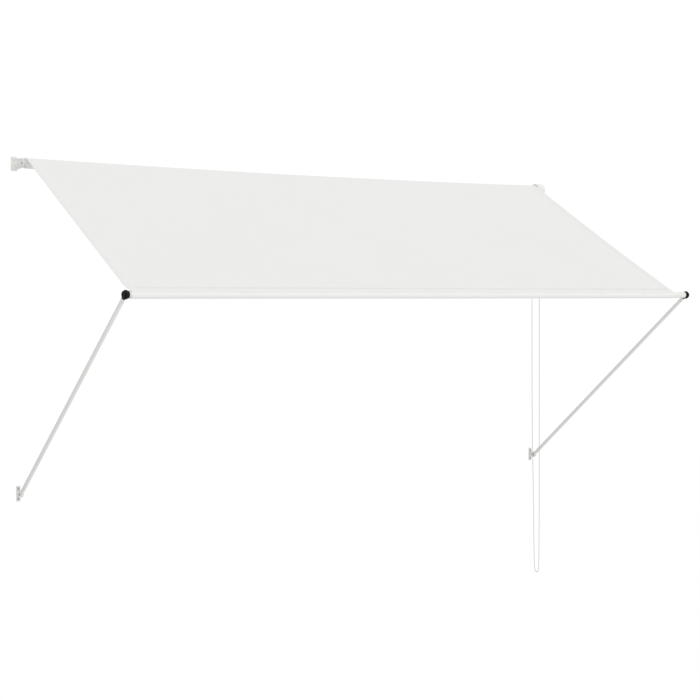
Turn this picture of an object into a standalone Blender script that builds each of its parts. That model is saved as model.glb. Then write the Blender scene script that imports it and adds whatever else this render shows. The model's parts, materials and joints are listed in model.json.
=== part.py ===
"""Drop-arm window awning: a cloth on a chain-driven roller, with two wall arms that carry its front bar.

Metres, +Z up. The wall is the plane Y = 0 and the awning stands out towards -Y.
The origin is on the left roller bracket's back face, where it meets the wall.
"""

import math

import bmesh
import bpy
from mathutils import Matrix, Vector

# Driving dimensions.
CLOTH_WIDTH = 2.500
CLOTH_LEFT = 0.017  # the cloth's left edge
ROLLER_Y = -0.055  # the roller's axis, at z = 0
ROLL_RADIUS = 0.0200  # over the turns of cloth left on the roller
ARM_LENGTH = 1.170  # pivot to front bar, seen from the side
ARM_ANGLE = math.radians(50.3)  # from straight up, with the cloth let out
PIVOT_Y = -0.028
PIVOT_Z = -1.2385
LEFT_ARM_X = 0.0115
RIGHT_FOOT_X = 2.538
RIGHT_KNUCKLE_X = 2.596  # the right arm leans out to the longer end of the bar
CHAIN_X = 2.526

GAP = 0.0003  # between faces that touch

# Sheet metal, tubes and cloth.
STEEL = 0.0025
ROLLER_TUBE = (0.0175, 0.0163)  # outer and inner radius
BAR_TUBE = (0.0125, 0.0113)
ARM_TUBE = (0.0075, 0.0065)
POCKET = (0.0140, 0.0129)
CLOTH_THICK = 0.002

# Roller brackets.
LEFT_BRACKET_X = -0.0055  # the middle of its wall plate
BRACKET_HALF = (0.0125, 0.027)  # half the wall plate's width and height
SIDE_HALF = 0.021  # half the side plate's height at the wall
SIDE_NOSE = 0.018  # radius of its rounded end, about the roller's axis
DART = (0.016, 0.0255, 0.019)  # the pressed dart's width, depth and half height
PIN_RADIUS = 0.004
PIN_ENDS = (0.0025, 0.040)
POST_NECK = 0.005
BRACKET_SCREW_X = 0.003
BRACKET_SCREW_Z = 0.018
SCREW_HOLE = 0.0026  # radius, in every wall plate

# Chain drive at the roller's right end.
HOUSING = (0.0276, 0.0262)
HOUSING_LIP = (0.0187, 0.0013)  # radius of its left mouth, and the lip's thickness
HOUSING_ENDS = (2.519, 2.5615)
HOUSING_WALL = 0.002
CHAIN_DIAMETER = 0.0045
WHEEL_PITCH = 0.0235
WHEEL_RIM = 0.0244
GROOVE_HALF = 0.0027
RIM_THICK = 0.002
POST_RADIUS = 0.009
SPRING = (0.0102, 0.0008, 8, 0.0023)  # coil radius, wire radius, turns and pitch
SPRING_INSET = 0.0085  # from the chain to its first turn
SLOT_REACH = 0.034  # the slot's cutter goes past the housing by this, from the axis

# Lower brackets, arms and front bar.
LUG_HALF = (0.0085, 0.0295)
EAR_THICK = 0.002
TONGUE_HALF = 0.003
EAR_NOSE = 0.011
EAR_ROOT = 0.013
LUG_SCREW_Z = 0.020
BOLT_RADIUS = 0.003
EYE_HALF = 0.0035
EYE_RADIUS = 0.0155
JOURNAL = 0.0085
COLLAR = (0.0128, 0.0063)  # radius and width of the bar end's shoulder
KNUCKLE_CAP = (0.0120, 0.0072)  # radius and width
PLUG_LONG = 0.030
POCKET_INSET = 0.011  # the pocket starts this far in from the cloth's left edge
CORNER_CUT = 0.034  # how far up from the bar the cloth's left corner is cut away

ROLLER = Vector((0, ROLLER_Y, 0))
BAR = Vector(
    (
        0,
        PIVOT_Y - ARM_LENGTH * math.sin(ARM_ANGLE),
        PIVOT_Z + ARM_LENGTH * math.cos(ARM_ANGLE),
    )
)
LEFT_PIVOT = Vector((LEFT_ARM_X, PIVOT_Y, PIVOT_Z))
RIGHT_PIVOT = Vector((RIGHT_FOOT_X, PIVOT_Y, PIVOT_Z))
CLOTH_RIGHT = CLOTH_LEFT + CLOTH_WIDTH
RIGHT_BRACKET_X = HOUSING_ENDS[1] + GAP + BRACKET_HALF[0]
X_AXIS = Vector((1, 0, 0))
Y_AXIS = Vector((0, 1, 0))

# The chain's loop, seen from the side: distance in front of the roller's axis, and height.
CHAIN_ROUTE = [
    (0.0013, 0.02346),
    (0.0081, 0.02206),
    (0.0151, 0.01800),
    (0.0204, 0.01175),
    (0.0231, 0.00408),
    (0.0236, -0.0100),
    (0.0246, -0.0800),
    (0.0258, -0.3000),
    (0.0259, -0.5000),
    (0.0255, -0.8000),
    (0.0250, -1.1000),
    (0.0250, -1.4000),
    (0.0236, -1.6500),
    (0.0224, -1.7250),
    (0.0211, -1.7560),
    (0.0187, -1.7730),
    (0.0134, -1.7806),
    (0.0065, -1.78275),
    (-0.0004, -1.7806),
    (-0.0058, -1.7722),
    (-0.0084, -1.7560),
    (-0.0100, -1.7250),
    (-0.0122, -1.6500),
    (-0.0168, -1.4000),
    (-0.0240, -1.1000),
    (-0.0253, -0.8000),
    (-0.0258, -0.5000),
    (-0.0257, -0.3000),
    (-0.0246, -0.0800),
    (-0.0236, -0.0100),
    (-0.0231, 0.00408),
    (-0.0204, 0.01175),
    (-0.0151, 0.01800),
    (-0.0081, 0.02206),
    (-0.0013, 0.02346),
]


def clear_scene():
    """Empties the scene of objects."""
    for found in list(bpy.data.objects):
        bpy.data.objects.remove(found)


def material(name, colour, roughness, metallic=0.0):
    """A Principled BSDF material."""
    made = bpy.data.materials.new(name)
    made.use_nodes = True
    shader = made.node_tree.nodes["Principled BSDF"]
    shader.inputs["Base Color"].default_value = (*colour, 1)
    shader.inputs["Roughness"].default_value = roughness
    shader.inputs["Metallic"].default_value = metallic
    return made


def new_object(name, bm):
    """An object at the origin from a bmesh, which is freed."""
    bmesh.ops.remove_doubles(bm, verts=bm.verts, dist=1e-6)
    bmesh.ops.recalc_face_normals(bm, faces=bm.faces)
    mesh = bpy.data.meshes.new(name)
    bm.to_mesh(mesh)
    bm.free()
    made = bpy.data.objects.new(name, mesh)
    bpy.context.scene.collection.objects.link(made)
    return made


def prism(name, outline, low, high):
    """A closed (y, z) outline, extruded along X from low to high."""
    bm = bmesh.new()
    face = bm.faces.new([bm.verts.new((low, y, z)) for y, z in outline])
    moved = bmesh.ops.extrude_face_region(bm, geom=[face])["geom"]
    corners = [v for v in moved if isinstance(v, bmesh.types.BMVert)]
    bmesh.ops.translate(bm, verts=corners, vec=(high - low, 0, 0))
    return new_object(name, bm)


def block(name, low, high):
    """A box between two corners."""
    outline = [(low[1], low[2]), (high[1], low[2]), (high[1], high[2]), (low[1], high[2])]
    return prism(name, outline, low[0], high[0])


def turned(name, profile, centre, direction=X_AXIS, segments=32):
    """A (distance along, radius) profile turned about the line through centre in that direction.

    A profile that starts and ends at radius 0 is solid; any other is a closed ring's section.
    """
    bm = bmesh.new()
    points = [bm.verts.new((radius, 0, along)) for along, radius in profile]
    edges = [bm.edges.new(pair) for pair in zip(points, points[1:])]
    if profile[0][1] > 0:
        edges.append(bm.edges.new((points[-1], points[0])))
    bmesh.ops.spin(
        bm,
        geom=points + edges,
        cent=(0, 0, 0),
        axis=(0, 0, 1),
        angle=math.tau,
        steps=segments,
    )
    turn = Vector(direction).to_track_quat("Z", "Y").to_matrix().to_4x4()
    bmesh.ops.transform(bm, matrix=Matrix.Translation(centre) @ turn, verts=bm.verts)
    return new_object(name, bm)


def rod(name, centre, ends, radius, direction=X_AXIS, segments=24):
    """A plain cylinder along a direction, between two distances from centre."""
    low, high = ends
    return turned(
        name, [(low, 0), (low, radius), (high, radius), (high, 0)], centre, direction, segments
    )


def tube(name, centre, ends, radii, direction=X_AXIS, segments=32):
    """A pipe along a direction, between two distances from centre."""
    low, high = ends
    outer, inner = radii
    section = [(low, inner), (low, outer), (high, outer), (high, inner)]
    return turned(name, section, centre, direction, segments)


def combine(piece, other, operation):
    """Applies a boolean with another object to the piece, and removes the other."""
    step = piece.modifiers.new(operation, "BOOLEAN")
    step.operation = operation
    step.object = other
    step.solver = "EXACT"
    scene = bpy.context.evaluated_depsgraph_get()
    result = bpy.data.meshes.new_from_object(piece.evaluated_get(scene))
    piece.modifiers.clear()
    piece.data = result
    bpy.data.objects.remove(other)
    return piece


def cut(piece, *cutters):
    for cutter in cutters:
        combine(piece, cutter, "DIFFERENCE")
    return piece


def fuse(piece, *others):
    for other in others:
        combine(piece, other, "UNION")
    return piece


def place(piece, finish, joint=None):
    """Gives a piece its material and, if it moves, hangs it on the empty at its joint."""
    piece.data.materials.clear()
    piece.data.materials.append(finish.copy())
    piece.data.materials[0].name = piece.name
    piece.data.shade_smooth()
    piece.data.set_sharp_from_angle(angle=math.radians(35))
    if joint is not None:
        piece.data.transform(Matrix.Translation(-joint.location))
        piece.parent = joint
    return piece


def joint_empty(name, location):
    made = bpy.data.objects.new(name, None)
    made.location = location
    made.empty_display_size = 0.05
    bpy.context.scene.collection.objects.link(made)
    return made


def arc(centre, radius, start, end, steps):
    """Points round a (y, z) centre, with angles in degrees from +Y towards +Z."""
    angles = [math.radians(start + (end - start) * i / steps) for i in range(steps + 1)]
    return [
        (centre[0] + radius * math.cos(a), centre[1] + radius * math.sin(a)) for a in angles
    ]


def wall_screw(name, x, z, finish):
    """A pan-head screw through a wall plate, drawn as far as the wall's face."""
    front = STEEL + GAP
    profile = [
        (0.0002, 0),
        (0.0002, 0.0022),
        (front, 0.0022),
        (front, 0.0045),
        (front + 0.0014, 0.0045),
        (front + 0.0027, 0.0030),
        (front + 0.0030, 0),
    ]
    screw = turned(name, profile, (x, 0, z), -Y_AXIS, 16)
    slots = []
    for half in ((0.0022, 0.0004), (0.0004, 0.0022)):
        low = (x - half[0], -0.010, z - half[1])
        high = (x + half[0], -(front + 0.0016), z + half[1])
        slots.append(block("slot", low, high))
    return place(cut(screw, *slots), finish)


def roller_bracket(name, centre_x, side, hole, finish):
    """A pressed wall bracket. Its side plate is at the edge towards side, +1 or -1 along X."""
    half_wide, half_high = BRACKET_HALF
    plate = block(
        name, (centre_x - half_wide, -STEEL, -half_high), (centre_x + half_wide, 0, half_high)
    )
    inner = centre_x + side * half_wide
    outer = inner - side * STEEL
    outline = [(-0.001, SIDE_HALF), *arc((ROLLER_Y, 0), SIDE_NOSE, 90, 270, 14), (-0.001, -SIDE_HALF)]
    side_plate = prism("side", outline, min(inner, outer), max(inner, outer))
    wide, deep, high = DART
    sunk = 0.001
    corner = outer + side * sunk
    bm = bmesh.new()
    tip = bm.verts.new((outer - side * wide, -STEEL + sunk, 0))
    nose = bm.verts.new((corner, -STEEL - deep, 0))
    top = bm.verts.new((corner, -STEEL + sunk, high))
    bottom = bm.verts.new((corner, -STEEL + sunk, -high))
    for face in ((tip, nose, top), (tip, bottom, nose), (top, nose, bottom), (tip, top, bottom)):
        bm.faces.new(face)
    dart = new_object("dart", bm)
    fuse(plate, side_plate, dart)
    cut(plate, rod("hole", (inner, ROLLER_Y, 0), (-0.01, 0.01), hole))
    for z in (BRACKET_SCREW_Z, -BRACKET_SCREW_Z):
        x = centre_x - side * BRACKET_SCREW_X
        cut(plate, rod("hole", (x, 0, z), (-0.01, 0.01), SCREW_HOLE, Y_AXIS, 16))
    return place(plate, finish)


def lower_bracket(name, pivot, finish):
    """A wall plate with two ears that hold an arm's foot."""
    half_wide, half_high = LUG_HALF
    x, y, z = pivot
    plate = block(
        name, (x - half_wide, -STEEL, z - half_high), (x + half_wide, 0, z + half_high)
    )
    outline = [(-0.001, z + EAR_ROOT), *arc((y, z), EAR_NOSE, 90, 270, 12), (-0.001, z - EAR_ROOT)]
    for side in (-1, 1):
        inner = x + side * (TONGUE_HALF + GAP)
        outer = inner + side * EAR_THICK
        fuse(plate, prism("ear", outline, min(inner, outer), max(inner, outer)))
    cut(plate, rod("hole", pivot, (-0.012, 0.012), BOLT_RADIUS + GAP, segments=20))
    for step in (LUG_SCREW_Z, -LUG_SCREW_Z):
        centre = (x, 0, z + step)
        cut(plate, rod("hole", centre, (-0.01, 0.01), SCREW_HOLE, Y_AXIS, 16))
    return place(plate, finish)


def hex_nut(name, centre, ends, radius, bore, direction, finish):
    """A six-sided nut with a round hole."""
    low, high = ends
    outline = [
        (low, 0),
        (low, radius * 0.88),
        (low + 0.0004, radius),
        (high - 0.0004, radius),
        (high, radius * 0.88),
        (high, 0),
    ]
    nut = turned(name, outline, centre, direction, 6)
    cut(nut, rod("hole", centre, (low - 0.001, high + 0.001), bore, direction))
    return place(nut, finish)


def pivot_bolt(side_name, pivot, outward, finish):
    """The bolt and nut through a lower bracket, with the bolt's head towards outward, +1 or -1."""
    ear_face = TONGUE_HALF + 2 * GAP + EAR_THICK
    direction = Vector((outward, 0, 0))
    end = ear_face + 0.0033
    profile = [
        (-end, 0),
        (-end, BOLT_RADIUS),
        (ear_face, BOLT_RADIUS),
        (ear_face, 0.0050),
        (ear_face + 0.0018, 0.0050),
        (ear_face + 0.0028, 0.0034),
        (ear_face + 0.0030, 0),
    ]
    bolt = turned(f"pivot_bolt_{side_name}", profile, pivot, direction, 20)
    place(bolt, finish)
    name = f"pivot_nut_{side_name}"
    nut_ends = (-ear_face - 0.0028, -ear_face)
    hex_nut(name, pivot, nut_ends, 0.0058, BOLT_RADIUS + GAP, direction, finish)


def roller_pieces(joint, steel, plastic, cloth):
    """The roller's tube, the cloth on it, its idle end and the chain wheel that turns it."""
    outer, inner = ROLLER_TUBE
    ends = (CLOTH_LEFT, CLOTH_RIGHT)
    place(tube("roller_tube", ROLLER, ends, ROLLER_TUBE), steel, joint)
    turns = (ROLL_RADIUS, outer + GAP)
    place(tube("wound_cloth", ROLLER, ends, turns, segments=40), cloth, joint)
    bore = PIN_RADIUS + GAP
    plug = inner - GAP
    idle = [
        (CLOTH_LEFT - 0.0085, bore),
        (CLOTH_LEFT - 0.0085, 0.0113),
        (CLOTH_LEFT - 0.0078, 0.0120),
        (CLOTH_LEFT - 0.0045, 0.0120),
        (CLOTH_LEFT - 0.0045, 0.0182),
        (CLOTH_LEFT - 0.0038, 0.0190),
        (CLOTH_LEFT - GAP, 0.0190),
        (CLOTH_LEFT - GAP, plug),
        (CLOTH_LEFT + PLUG_LONG, plug),
        (CLOTH_LEFT + PLUG_LONG, bore),
    ]
    place(turned("idle_plug", idle, ROLLER), plastic, joint)
    low, high = PIN_ENDS
    pin = [
        (low, 0),
        (low, PIN_RADIUS - 0.0008),
        (low + 0.0008, PIN_RADIUS),
        (high, PIN_RADIUS),
        (high, 0),
    ]
    place(turned("idle_pin", pin, ROLLER, segments=20), steel, joint)
    left = CHAIN_X - GROOVE_HALF - RIM_THICK
    right = CHAIN_X + GROOVE_HALF + RIM_THICK
    floor = WHEEL_PITCH - CHAIN_DIAMETER / 2 - 2 * GAP
    drum_end = CLOTH_RIGHT - 0.037
    sleeve_end = HOUSING_ENDS[1] - HOUSING_WALL - 0.0035
    post_bore = POST_RADIUS + GAP
    wheel = [
        (drum_end, post_bore),
        (drum_end, plug),
        (left, plug),
        (left, WHEEL_RIM),
        (CHAIN_X - GROOVE_HALF, WHEEL_RIM),
        (CHAIN_X - GROOVE_HALF, floor),
        (CHAIN_X + GROOVE_HALF, floor),
        (CHAIN_X + GROOVE_HALF, WHEEL_RIM),
        (right, WHEEL_RIM),
        (right, 0.0155),
        (sleeve_end, 0.0155),
        (sleeve_end, 0.0125),
        (right, 0.0125),
        (right, post_bore),
    ]
    place(turned("chain_wheel", wheel, ROLLER, segments=40), plastic, joint)


def chain_drive(steel, plastic):
    """What stays still at the roller's right end: housing, post, nut and brake spring."""
    low, high = HOUSING_ENDS
    outer, inner = HOUSING
    wall = high - HOUSING_WALL
    mouth, lip = HOUSING_LIP
    shell = [
        (low, mouth),
        (low, outer - 0.0008),
        (low + 0.0008, outer),
        (high - 0.0020, outer),
        (high, outer - 0.0020),
        (high, POST_RADIUS + GAP),
        (wall, POST_RADIUS + GAP),
        (wall, inner),
        (low + lip, inner),
        (low + lip, mouth),
    ]
    housing = turned("clutch_housing", shell, ROLLER, segments=48)
    slot_low = (low + 0.0020, ROLLER_Y - SLOT_REACH, -SLOT_REACH)
    slot_high = (CHAIN_X + 0.0050, ROLLER_Y + SLOT_REACH, 0.001)
    place(cut(housing, block("slot", slot_low, slot_high)), plastic)
    neck = high - GAP
    far = high + GAP + STEEL
    post = [
        (CLOTH_RIGHT - 0.032, 0),
        (CLOTH_RIGHT - 0.032, POST_RADIUS),
        (neck, POST_RADIUS),
        (neck, POST_NECK),
        (far + 0.0065, POST_NECK),
        (far + 0.0065, 0),
    ]
    place(turned("clutch_post", post, ROLLER, segments=24), steel)
    nut_ends = (far + GAP, far + 0.0055)
    hex_nut("clutch_post_nut", ROLLER, nut_ends, 0.0092, POST_NECK + GAP, X_AXIS, steel)
    coil, wire, turns, pitch = SPRING
    start = CHAIN_X + SPRING_INSET
    steps = 16
    points = []
    for i in range(turns * steps + 1):
        angle = math.tau * i / steps
        along = start + pitch * i / steps
        points.append((along, ROLLER_Y + coil * math.cos(angle), coil * math.sin(angle)))
    place(curve_tube("brake_spring", points, wire, 1), steel)


def curve_tube(name, points, radius, resolution):
    """A round wire or cord along points, with closed ends, as a mesh."""
    curve = bpy.data.curves.new(name, "CURVE")
    curve.dimensions = "3D"
    curve.bevel_depth = radius
    curve.bevel_resolution = resolution
    curve.use_fill_caps = True
    spline = curve.splines.new("POLY")
    spline.points.add(len(points) - 1)
    for point, position in zip(spline.points, points):
        point.co = (*position, 1)
    drawn = bpy.data.objects.new(name, curve)
    bpy.context.scene.collection.objects.link(drawn)
    scene = bpy.context.evaluated_depsgraph_get()
    mesh = bpy.data.meshes.new_from_object(drawn.evaluated_get(scene))
    bpy.data.objects.remove(drawn)
    bm = bmesh.new()
    bm.from_mesh(mesh)
    return new_object(name, bm)


def smooth_route(route, per_span):
    """Points on a Catmull-Rom curve through a route's (forward, height) pairs."""
    padded = [route[0], *route, route[-1]]
    found = []
    for i in range(len(route) - 1):
        a, b, c, d = (Vector(p) for p in padded[i : i + 4])
        for k in range(per_span):
            t = k / per_span
            bend = (2 * a - 5 * b + 4 * c - d) * t**2 + (3 * b - a - 3 * c + d) * t**3
            found.append((2 * b + (c - a) * t + bend) / 2)
    return [*found, Vector(route[-1])]


def bead_chain(finish):
    """The hanging loop of chain, over the wheel and down."""
    line = [(CHAIN_X, ROLLER_Y - p.x, p.y) for p in smooth_route(CHAIN_ROUTE, 2)]
    place(curve_tube("bead_chain", line, CHAIN_DIAMETER / 2, 2), finish)


def cloth_sheet(finish):
    """The cloth between roller and bar: a flat sheet along the line that touches both from above."""
    across = BAR.yz - ROLLER.yz
    tilt = math.asin((ROLL_RADIUS - POCKET[0]) / across.length)
    slope = math.atan2(-across.y, -across.x) + tilt
    run = Vector((-math.cos(slope), -math.sin(slope)))
    normal = Vector((-math.sin(slope), math.cos(slope)))
    top = ROLLER.yz + normal * (ROLL_RADIUS + GAP)
    end = BAR.yz + normal * (POCKET[0] + GAP)
    bm = bmesh.new()
    corners = [
        (CLOTH_LEFT, top),
        (CLOTH_LEFT, end - run * CORNER_CUT),
        (CLOTH_LEFT + POCKET_INSET, end),
        (CLOTH_RIGHT, end),
        (CLOTH_RIGHT, top),
    ]
    face = bm.faces.new([bm.verts.new((x, *yz)) for x, yz in corners])
    moved = bmesh.ops.extrude_face_region(bm, geom=[face])["geom"]
    raised = [v for v in moved if isinstance(v, bmesh.types.BMVert)]
    bmesh.ops.translate(bm, verts=raised, vec=(0, *(normal * CLOTH_THICK)))
    place(new_object("canopy_cloth", bm), finish)


def arm(side_name, joint, knuckle_x, paint, black):
    """One arm: its foot, tube, knuckle and the two screws that hold them together."""
    foot = joint.location
    knuckle = Vector((knuckle_x, BAR.y, BAR.z))
    axis = (knuckle - foot).normalized()
    length = (knuckle - foot).length
    outer, inner = ARM_TUBE
    plug = inner - GAP
    tube_start = 0.0215
    tube_end = length - 0.0190
    body = tube(f"arm_tube_{side_name}", foot, (tube_start, tube_end), ARM_TUBE, axis, 24)
    flat = Vector((0, axis.y, axis.z)).normalized()
    across = Vector((0, -flat.z, flat.y))
    shoulder = [foot + flat * 0.0165 + across * way * 0.0058 for way in (-1, 1)]
    facing = math.degrees(math.atan2(flat.z, flat.y))
    outline = [*arc((foot.y, foot.z), 0.0085, facing + 65, facing + 295, 18)]
    outline += [(p.y, p.z) for p in shoulder]
    low, high = foot.x - TONGUE_HALF, foot.x + TONGUE_HALF
    eye = prism(f"arm_foot_{side_name}", outline, low, high)
    shank = [
        (0.0150, 0),
        (0.0150, 0.0062),
        (0.0165, outer),
        (tube_start - GAP, outer),
        (tube_start - GAP, plug),
        (tube_start + PLUG_LONG, plug),
        (tube_start + PLUG_LONG, 0),
    ]
    fuse(eye, turned("shank", shank, foot, axis, 24))
    cut(eye, rod("hole", foot, (-0.01, 0.01), BOLT_RADIUS + GAP, segments=20))
    ring = tube(
        f"arm_knuckle_{side_name}", knuckle, (-EYE_HALF, EYE_HALF), (EYE_RADIUS, JOURNAL + GAP)
    )
    boss = [
        (0.0137, 0),
        (0.0137, 0.0060),
        (0.0187, 0.0070),
        (0.0187, plug),
        (0.0187 + PLUG_LONG, plug),
        (0.0187 + PLUG_LONG, 0),
    ]
    fuse(ring, turned("boss", boss, knuckle, -axis, 24))
    screws = []
    for name, along in (("foot", tube_start + 0.015), ("knuckle", tube_end - 0.015)):
        centre = foot + axis * along
        front = Vector((0, -axis.z, axis.y)).normalized()
        if front.y > 0:
            front.negate()
        hole = (centre, (0.001, 0.02), 0.0019, front, 12)
        cut(body, rod("hole", *hole))
        cut(eye if name == "foot" else ring, rod("hole", *hole))
        head = outer + GAP
        profile = [
            (0.0025, 0),
            (0.0025, 0.0016),
            (head, 0.0016),
            (head, 0.0032),
            (head + 0.0008, 0.0030),
            (head + 0.0017, 0.0018),
            (head + 0.0019, 0),
        ]
        screws.append(turned(f"arm_screw_{name}_{side_name}", profile, centre, front, 12))
    place(body, paint, joint)
    place(eye, paint, joint)
    place(ring, black, joint)
    for screw in screws:
        place(screw, paint, joint)


def front_bar(joint, paint, cloth, black):
    """The bar, the cloth pocket that it runs in, and at each end the journal that a knuckle turns on."""
    inset = EYE_HALF + 2 * GAP + COLLAR[1]
    ends = (LEFT_ARM_X + inset, RIGHT_KNUCKLE_X - inset)
    place(tube("front_bar", BAR, ends, BAR_TUBE), paint, joint)
    pocket_ends = (CLOTH_LEFT + POCKET_INSET, CLOTH_RIGHT)
    place(tube("cloth_pocket", BAR, pocket_ends, POCKET, segments=36), cloth, joint)
    for side_name, x, way in (("left", LEFT_ARM_X, -1), ("right", RIGHT_KNUCKLE_X, 1)):
        centre = (x, BAR.y, BAR.z)
        out = Vector((way, 0, 0))
        shoulder = -EYE_HALF - GAP
        back = shoulder - COLLAR[1]
        face = EYE_HALF + GAP
        plug = BAR_TUBE[1] - GAP
        end = [
            (back - PLUG_LONG, 0),
            (back - PLUG_LONG, plug),
            (back, plug),
            (back, COLLAR[0]),
            (shoulder - 0.0010, COLLAR[0]),
            (shoulder, COLLAR[0] - 0.0010),
            (shoulder, JOURNAL),
            (face - GAP, JOURNAL),
            (face - GAP, 0.0025),
            (-0.010, 0.0025),
            (-0.010, 0),
        ]
        place(turned(f"bar_end_{side_name}", end, centre, out), black, joint)
        radius, wide = KNUCKLE_CAP
        cap = [
            (face, 0.0025),
            (face, radius),
            (face + wide - 0.0022, radius),
            (face + wide - 0.0007, radius - 0.0010),
            (face + wide, radius - 0.0032),
            (face + wide, 0.0052),
            (face + wide - 0.0030, 0.0052),
            (face + wide - 0.0030, 0.0025),
        ]
        place(turned(f"knuckle_cap_{side_name}", cap, centre, out), black, joint)
        seat = face + wide - 0.0030 + GAP
        screw = [
            (-0.0095, 0),
            (-0.0095, 0.0022),
            (seat, 0.0022),
            (seat, 0.0047),
            (seat + 0.0010, 0.0047),
            (seat + 0.0021, 0.0030),
            (seat + 0.0023, 0),
        ]
        place(turned(f"knuckle_screw_{side_name}", screw, centre, out, 16), black, joint)


def build():
    clear_scene()
    paint = material("cream_powder_coat", (0.84, 0.84, 0.80), 0.42)
    cloth = material("awning_cloth", (0.80, 0.80, 0.77), 0.85)
    black = material("black_plastic", (0.012, 0.012, 0.013), 0.45)
    white = material("white_plastic", (0.82, 0.82, 0.79), 0.38)
    steel = material("zinc_steel", (0.55, 0.56, 0.56), 0.35, 1.0)
    roller_bracket("roller_bracket_left", LEFT_BRACKET_X, 1, PIN_RADIUS + GAP, paint)
    roller_bracket("roller_bracket_right", RIGHT_BRACKET_X, -1, POST_NECK + GAP, paint)
    left_x = LEFT_BRACKET_X - BRACKET_SCREW_X
    right_x = RIGHT_BRACKET_X + BRACKET_SCREW_X
    for side_name, x in (("left", left_x), ("right", right_x)):
        wall_screw(f"roller_screw_upper_{side_name}", x, BRACKET_SCREW_Z, paint)
        wall_screw(f"roller_screw_lower_{side_name}", x, -BRACKET_SCREW_Z, paint)
    for side_name, pivot, outward in (("left", LEFT_PIVOT, -1), ("right", RIGHT_PIVOT, 1)):
        lower_bracket(f"arm_bracket_{side_name}", pivot, paint)
        wall_screw(f"arm_bracket_screw_upper_{side_name}", pivot.x, PIVOT_Z + LUG_SCREW_Z, steel)
        wall_screw(f"arm_bracket_screw_lower_{side_name}", pivot.x, PIVOT_Z - LUG_SCREW_Z, steel)
        pivot_bolt(side_name, pivot, outward, steel)
    roller_pieces(joint_empty("roller_spin", ROLLER), steel, white, cloth)
    chain_drive(steel, white)
    bead_chain(white)
    cloth_sheet(cloth)
    arm("left", joint_empty("arm_swing", LEFT_PIVOT), LEFT_ARM_X, paint, black)
    right_joint = joint_empty("right_arm_swing", RIGHT_PIVOT)
    arm("right", right_joint, RIGHT_KNUCKLE_X, paint, black)
    front_bar(joint_empty("bar_turn", BAR), paint, cloth, black)


build()
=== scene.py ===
"""Finished look of a drop-arm window awning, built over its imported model."""

import json
import math

import bmesh
import bpy
from bpy.props import FloatProperty, FloatVectorProperty, PointerProperty
from mathutils import Matrix, Vector

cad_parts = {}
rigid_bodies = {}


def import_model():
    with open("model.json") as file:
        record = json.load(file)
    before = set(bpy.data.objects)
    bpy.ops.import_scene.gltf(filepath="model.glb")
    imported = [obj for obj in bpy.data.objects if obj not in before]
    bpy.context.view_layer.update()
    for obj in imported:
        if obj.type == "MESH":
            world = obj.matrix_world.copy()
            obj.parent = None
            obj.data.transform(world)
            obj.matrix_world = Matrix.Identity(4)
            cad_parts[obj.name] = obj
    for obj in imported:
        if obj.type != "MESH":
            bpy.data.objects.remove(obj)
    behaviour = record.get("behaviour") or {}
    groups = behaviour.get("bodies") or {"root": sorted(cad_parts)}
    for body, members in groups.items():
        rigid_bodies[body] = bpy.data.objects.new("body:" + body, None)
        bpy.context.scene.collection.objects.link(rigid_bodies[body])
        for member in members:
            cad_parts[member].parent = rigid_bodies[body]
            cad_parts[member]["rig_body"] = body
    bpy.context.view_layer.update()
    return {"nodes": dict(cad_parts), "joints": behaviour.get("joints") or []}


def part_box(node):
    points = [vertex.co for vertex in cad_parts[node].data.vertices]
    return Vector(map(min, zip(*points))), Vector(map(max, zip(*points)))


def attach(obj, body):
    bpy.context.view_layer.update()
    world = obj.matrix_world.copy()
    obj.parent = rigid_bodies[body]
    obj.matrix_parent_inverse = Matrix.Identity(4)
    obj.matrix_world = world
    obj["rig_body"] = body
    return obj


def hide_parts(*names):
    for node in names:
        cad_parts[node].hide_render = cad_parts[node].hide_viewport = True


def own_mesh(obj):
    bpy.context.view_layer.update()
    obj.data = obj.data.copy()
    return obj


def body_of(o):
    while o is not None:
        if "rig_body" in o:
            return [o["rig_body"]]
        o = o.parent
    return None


bl_info = {
    "name": "Drop-arm awning",
    "version": (1, 0, 0),
    "blender": (4, 5, 0),
    "location": "View3D > Sidebar > Awning",
    "description": "Cloth, bead chain, finishes and studio for a drop-arm window awning",
    "category": "Object",
}

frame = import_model()


def centre_of(node):
    low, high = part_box(node)
    return (Vector(low) + Vector(high)) / 2


def radius_of(node):
    low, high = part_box(node)
    return (high[2] - low[2]) / 2


ROLL = centre_of("wound_cloth")
ROLL_RADIUS = radius_of("wound_cloth")
BAR = centre_of("front_bar")
BAR_RADIUS = radius_of("front_bar")
POCKET_RADIUS = radius_of("cloth_pocket")
PIVOT = centre_of("pivot_nut_left")
CLOTH_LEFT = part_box("wound_cloth")[0][0]
CLOTH_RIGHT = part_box("wound_cloth")[1][0]
CLOTH_WIDTH = CLOTH_RIGHT - CLOTH_LEFT
POCKET_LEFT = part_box("cloth_pocket")[0][0]
CHAIN_X = centre_of("bead_chain").x
ARM_TRAVEL = next(
    math.radians(j["range_deg"][1]) for j in frame["joints"] if j["name"] == "arm_swing"
)

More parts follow.
